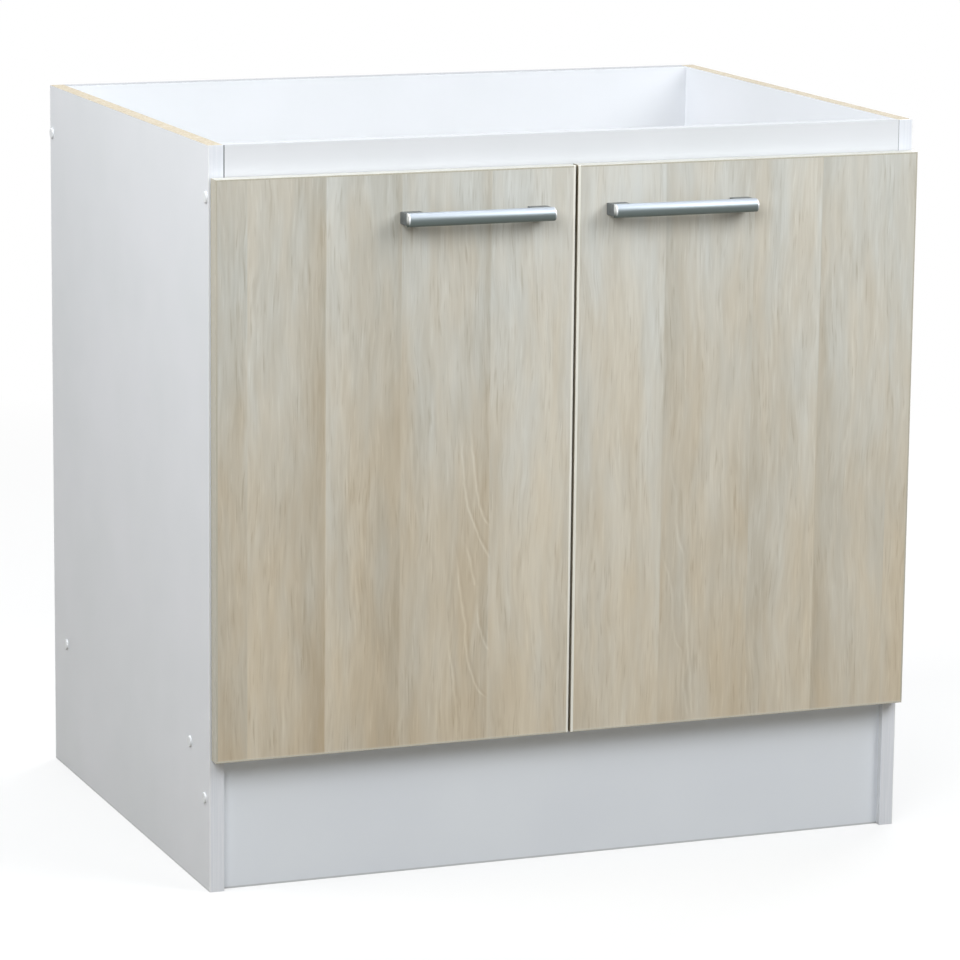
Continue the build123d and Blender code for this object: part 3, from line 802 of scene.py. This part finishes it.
class CabinetFittingSettings(bpy.types.PropertyGroup):
    """Colours of the caps, hinges, screws, dowels and bumpers."""

    cap_light: FloatVectorProperty(
        name="Cap", description="White of the screw caps",
        subtype="COLOR", default=linear("#EDEFF1"))
    cap_shade: FloatVectorProperty(
        name="Cap shade", description="Second tone of the screw caps",
        subtype="COLOR", default=linear("#E4E7EA"))
    nickel_light: FloatVectorProperty(
        name="Nickel", description="Light tone of the plated hinges",
        subtype="COLOR", default=linear("#D5D2CB"))
    nickel_shade: FloatVectorProperty(
        name="Nickel shade", description="Second tone of the plated hinges",
        subtype="COLOR", default=linear("#BDBAB3"))
    zinc_light: FloatVectorProperty(
        name="Zinc", description="Light tone of the plated screws",
        subtype="COLOR", default=linear("#CDD1D4"))
    zinc_shade: FloatVectorProperty(
        name="Zinc shade", description="Second tone of the plated screws",
        subtype="COLOR", default=linear("#A9AEB0"))
    beech_light: FloatVectorProperty(
        name="Beech", description="Light tone of the dowels",
        subtype="COLOR", default=linear("#DDBE92"))
    beech_shade: FloatVectorProperty(
        name="Beech shade", description="Second tone of the dowels",
        subtype="COLOR", default=linear("#BF9766"))
    rubber_light: FloatVectorProperty(
        name="Bumper", description="Light tone of the door bumpers",
        subtype="COLOR", default=linear("#EDEDE8"))
    rubber_shade: FloatVectorProperty(
        name="Bumper shade", description="Second tone of the door bumpers",
        subtype="COLOR", default=linear("#E2E2DC"))


class CabinetStageSettings(bpy.types.PropertyGroup):
    """The floor, the lamps and the camera."""

    floor_colour: FloatVectorProperty(
        name="Floor", description="Colour of the floor",
        subtype="COLOR", default=linear("#F6F6F6"))
    floor_bounce: FloatVectorProperty(
        name="Floor bounce", description="Grey at which the floor lights the cabinet",
        subtype="COLOR", default=linear("#847D70"))
    floor_white_near: FloatProperty(
        name="White share near", description="Share of plain white in the floor by the cabinet",
        default=0.55, min=0.0, max=1.0, subtype="FACTOR")
    floor_fade_start: FloatProperty(
        name="Fade start", description="Distance at which the floor starts to turn plain white",
        default=0.7, unit="LENGTH")
    floor_fade_end: FloatProperty(
        name="Fade end", description="Distance at which the floor is plain white",
        default=2.6, unit="LENGTH")
    room_colour: FloatVectorProperty(
        name="Room light colour", description="Colour of the room's even light",
        subtype="COLOR", default=linear("#FBFEFF"))
    room_strength: FloatProperty(
        name="Room light", description="Strength of the even light of the room",
        default=0.14, min=0.0)
    lamp_colour: FloatVectorProperty(
        name="Lamp colour", description="Colour of the lamps",
        subtype="COLOR", default=linear("#FCFEFF"))
    key_power: FloatProperty(
        name="Key lamp", description="Power of the lamp at the right, near the front",
        default=20.6, min=0.0, unit="POWER")
    high_power: FloatProperty(
        name="High lamp", description="Power of the lamp high at the right front",
        default=12.2, min=0.0, unit="POWER")
    front_power: FloatProperty(
        name="Front lamp", description="Power of the lamp at the left front",
        default=40.5, min=0.0, unit="POWER")
    side_power: FloatProperty(
        name="Side lamp", description="Power of the lamp above the left side",
        default=20.8, min=0.0, unit="POWER")
    back_power: FloatProperty(
        name="Back lamp", description="Power of the lamp above the back",
        default=22.7, min=0.0, unit="POWER")
    right_power: FloatProperty(
        name="Right lamp", description="Power of the lamp behind the right side",
        default=48.0, min=0.0, unit="POWER")
    focal_length: FloatProperty(
        name="Focal length", description="Lens of the camera in millimetres",
        default=166.49, min=1.0)


# ---- Operators ----

class CABINET_OT_boards(bpy.types.Operator):
    """Finish the white boards and their edge strips"""

    bl_idname = "cabinet.boards"
    bl_label = "Boards"

    def execute(self, context):
        settings = context.scene.cabinet_boards
        whites = (settings.white, settings.white_shade)
        plinth_lit_whites = (settings.plinth_lit_white, settings.plinth_lit_shade)
        # The rails' greyish upper edges are painted shade.
        front_edge = (settings.rail_edge, settings.rail_edge_shade)
        rear_edge = (settings.rear_edge, settings.rear_edge_shade)
        front_joint = (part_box("front_top_rail")[0].y, SIDE_INNER)
        raw_top, raw_back, raw_foot = (Z, 1, CARCASS_TOP), (Y, 1, CARCASS_BACK), (Z, -1, 0.0)
        sides = melamine("white_melamine_side", settings, whites, [raw_top, raw_back, raw_foot],
                         stands=True)
        dress("left_side_panel", sides)
        dress("right_side_panel", sides)
        dress("front_top_rail", melamine("white_melamine_front_rail", settings, whites,
                                         front_joint=front_joint, top_strip=front_edge))
        dress("rear_top_rail", melamine("white_melamine_rear_rail", settings, whites,
                                        top_strip=rear_edge))
        dress("bottom_panel", melamine("white_melamine_bottom", settings, whites, [raw_back]))
        # The plinth's lighter copy of the facing is painted light.
        dress("plinth_board", melamine("white_melamine_plinth", settings, plinth_lit_whites,
                                       [raw_foot], stands=True))
        upright = edge_strip("white_upright_edge_strip", settings, Z, SIDE_OUTER)
        dress("left_side_edge_band", upright)
        dress("right_side_edge_band", upright)
        dress("bottom_panel_edge_band", edge_strip("white_level_edge_strip", settings, X))
        return {"FINISHED"}


class CABINET_OT_doors(bpy.types.Operator):
    """Finish the wood decor of the doors and their edge strips"""

    bl_idname = "cabinet.doors"
    bl_label = "Doors"

    def execute(self, context):
        settings = context.scene.cabinet_doors
        for side in SIDES:
            panel, band = side + "_door_panel", side + "_door_edge_band"
            dress(panel, wood_decor(side + "_door_wood_decor", settings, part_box(panel),
                                    DOOR_WOOD[side]))
            dress(band, door_strip(side + "_door_edge_strip", settings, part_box(band)))
        return {"FINISHED"}


class CABINET_OT_handles(bpy.types.Operator):
    """Make the bar handles and their feet"""

    bl_idname = "cabinet.handles"
    bl_label = "Handles"

    def execute(self, context):
        settings = context.scene.cabinet_handles
        nose_segments, end_segments = 12, 3
        aluminium = drawn_bar("satin_anodised_aluminium", settings, LEFT_BAR)
        grey = moulded("grey_foot_paint", settings.foot_light, settings.foot_shade,
                       roughness=0.42, Metallic=0.3)
        low, high = LEFT_BAR
        foot_low, foot_high = LEFT_FEET
        for side in SIDES:
            bar = bmesh.new()
            add_block(bar, low, high)
            level = [edge for edge in edges_at(bar, Y, low.y)
                     if abs(edge.verts[0].co.z - edge.verts[1].co.z) < NEAR]
            round_edges(bar, level, settings.nose_radius, nose_segments)
            round_edges(bar, edges_at(bar, X, low.x, high.x), settings.end_radius, end_segments)
            feet = bmesh.new()
            for start in (foot_low.x, foot_high.x - settings.foot_length):
                end = start + settings.foot_length
                foot = add_block(feet, (start, high.y, foot_low.z), (end, foot_high.y, foot_high.z))
                round_edges(feet, edges_of(foot), settings.end_radius, end_segments)
            if side == "right":
                mirror_maker(bar)
                mirror_maker(feet)
            finish_piece(side + "_handle_bar_piece", bar, side + "_door", [side + "_handle_bar"],
                         aluminium)
            finish_piece(side + "_handle_feet_piece", feet, side + "_door",
                         [side + "_handle_feet"], grey)
        return {"FINISHED"}


class CABINET_OT_fittings(bpy.types.Operator):
    """Finish the screw caps, hinges, screws, dowels and bumpers"""

    bl_idname = "cabinet.fittings"
    bl_label = "Fittings"

    def execute(self, context):
        settings = context.scene.cabinet_fittings
        cap = moulded("white_cap_plastic", settings.cap_light, settings.cap_shade, roughness=0.28)
        nickel = plated_steel("nickel_plated_steel", settings.nickel_light,
                              settings.nickel_shade, roughness=0.24, across=0.5, along=4.0)
        zinc = plated_steel("zinc_plated_steel", settings.zinc_light,
                            settings.zinc_shade, roughness=0.32, across=0.4, along=1.5)
        dowel = beech("beech_dowel", settings.beech_light, settings.beech_shade)
        rubber = moulded("clear_bumper_rubber", settings.rubber_light, settings.rubber_shade,
                         roughness=0.35, Transmission_Weight=0.35, IOR=1.45)
        # The first word that a node's name holds decides, so hinge screws are zinc.
        finishes = (("cover_caps", cap), ("bumpers", rubber), ("dowels", dowel),
                    ("screws", zinc), ("hinge", nickel))
        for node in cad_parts:
            fitting = [material for word, material in finishes if word in node]
            if fitting:
                dress(node, fitting[0])
        return {"FINISHED"}


class CABINET_OT_stage(bpy.types.Operator):
    """Make the pale floor, the lamps, the room light and the camera"""

    bl_idname = "cabinet.stage"
    bl_label = "Stage"

    def execute(self, context):
        settings = context.scene.cabinet_stage
        scene = context.scene
        maker = bmesh.new()
        bmesh.ops.create_grid(maker, x_segments=4, y_segments=4, size=FLOOR_REACH,
                              matrix=Matrix.Translation((0, 0, -FLOOR_DROP)))
        mesh = bpy.data.meshes.new("studio_floor")
        maker.to_mesh(mesh)
        maker.free()
        mesh.materials.append(studio_floor_paint("pale_floor", settings))
        floor = bpy.data.objects.new("studio_floor", mesh)
        scene.collection.objects.link(floor)

        room = bpy.data.worlds.new("studio_room")
        room.use_nodes = True
        sky = room.node_tree
        sky.nodes.clear()
        seen = seen_directly(sky)
        strength = add_node(sky, RANGE, [seen, 0.0, 1.0, settings.room_strength, 1.0])
        tint = add_node(sky, MIX, {0: seen, 6: settings.room_colour, 7: (1, 1, 1)},
                        data_type="RGBA")
        glow = add_node(sky, "ShaderNodeBackground", {"Color": tint, "Strength": strength})
        add_node(sky, "ShaderNodeOutputWorld", {"Surface": glow})
        scene.world = room

        for name, size, place, target in LAMPS:
            power = getattr(settings, name + "_power")
            aimed_lamp(name + "_lamp", settings.lamp_colour, power, size, place, target)

        lens = bpy.data.cameras.new("photograph_view")
        lens.lens = settings.focal_length
        lens.sensor_width = SENSOR_WIDTH
        camera = bpy.data.objects.new("photograph_view", lens)
        camera.location = CAMERA_PLACE
        camera.rotation_euler = [math.radians(angle) for angle in CAMERA_TURN]
        scene.collection.objects.link(camera)
        scene.camera = camera
        scene.view_settings.view_transform = "Standard"
        return {"FINISHED"}


class CABINET_PT_panel(bpy.types.Panel):
    """Lists the steps that dress the cabinet"""

    bl_idname = "CABINET_PT_panel"
    bl_label = "Sink base cabinet"
    bl_space_type = "VIEW_3D"
    bl_region_type = "UI"
    bl_category = "Cabinet"

    def draw(self, context):
        column = self.layout.column()
        for operator in OPERATORS:
            column.operator(operator.bl_idname)


SETTINGS = {
    "cabinet_boards": CabinetBoardSettings,
    "cabinet_doors": CabinetDoorSettings,
    "cabinet_handles": CabinetHandleSettings,
    "cabinet_fittings": CabinetFittingSettings,
    "cabinet_stage": CabinetStageSettings,
}
OPERATORS = (CABINET_OT_boards, CABINET_OT_doors, CABINET_OT_handles, CABINET_OT_fittings,
             CABINET_OT_stage)


def register():
    for name, group in SETTINGS.items():
        bpy.utils.register_class(group)
        setattr(bpy.types.Scene, name, PointerProperty(type=group))
    for operator in OPERATORS:
        bpy.utils.register_class(operator)
    bpy.utils.register_class(CABINET_PT_panel)


def unregister():
    bpy.utils.unregister_class(CABINET_PT_panel)
    for operator in reversed(OPERATORS):
        bpy.utils.unregister_class(operator)
    for name, group in reversed(SETTINGS.items()):
        delattr(bpy.types.Scene, name)
        bpy.utils.unregister_class(group)


def main():
    register()
    for operator in OPERATORS:
        group, step = operator.bl_idname.split(".")
        getattr(getattr(bpy.ops, group), step)()


if __name__ == "__main__":
    main()
